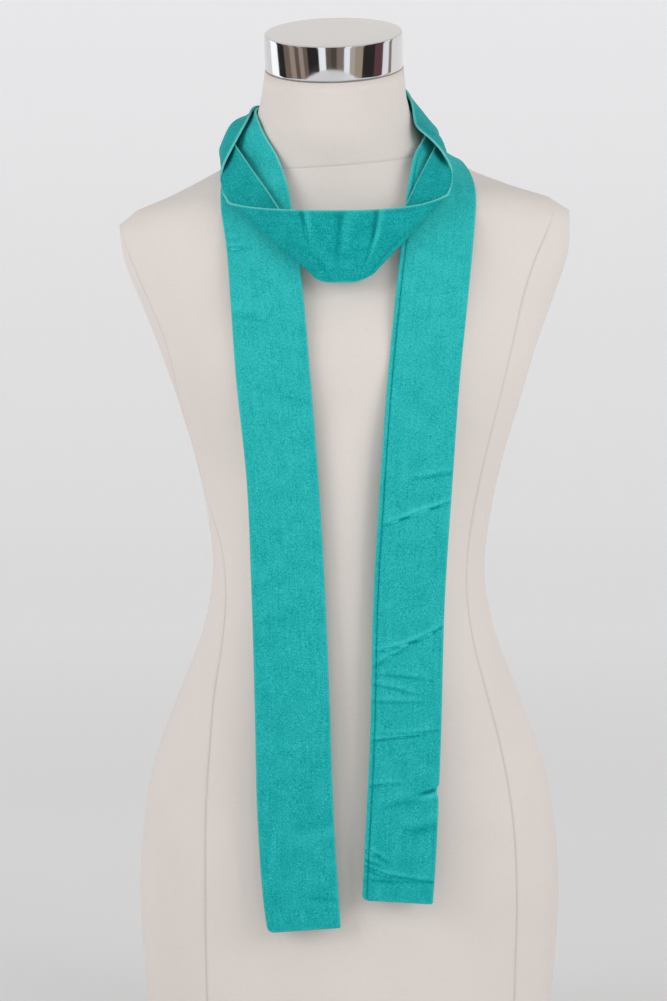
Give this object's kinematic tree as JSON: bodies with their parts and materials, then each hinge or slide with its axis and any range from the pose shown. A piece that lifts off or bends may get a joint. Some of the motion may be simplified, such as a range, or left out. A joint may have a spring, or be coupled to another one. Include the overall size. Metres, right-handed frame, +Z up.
{
  "type": "skinny scarf on a limbless dress form",
  "caption": "Long narrow faux-suede scarf wound once round the neck of a padded limbless dress form, its ends hanging down the front.",
  "frame": {"origin": "on the floor, under the middle of the dress form's base", "axes": "+Z up, the form faces -Y, +X to its left-hand side, which is the right of the picture"},
  "size_m": [0.3762, 0.2533, 0.8823],
  "materials": {
    "suede": "teal microsuede with a fine mottled nap",
    "jersey": "cream stretch jersey, smooth over padding",
    "cap": "polished chrome side, satin top"
  },
  "bodies": {
    "root": {"form_body": "jersey", "neck_cap": "cap", "scarf_front": "suede", "scarf_left_loop": "suede", "scarf_right_loop": "suede", "scarf_nape_lower": "suede", "scarf_nape_upper": "suede", "scarf_left_tail": "suede", "scarf_right_tail": "suede"}
  },
  "joints": []
}
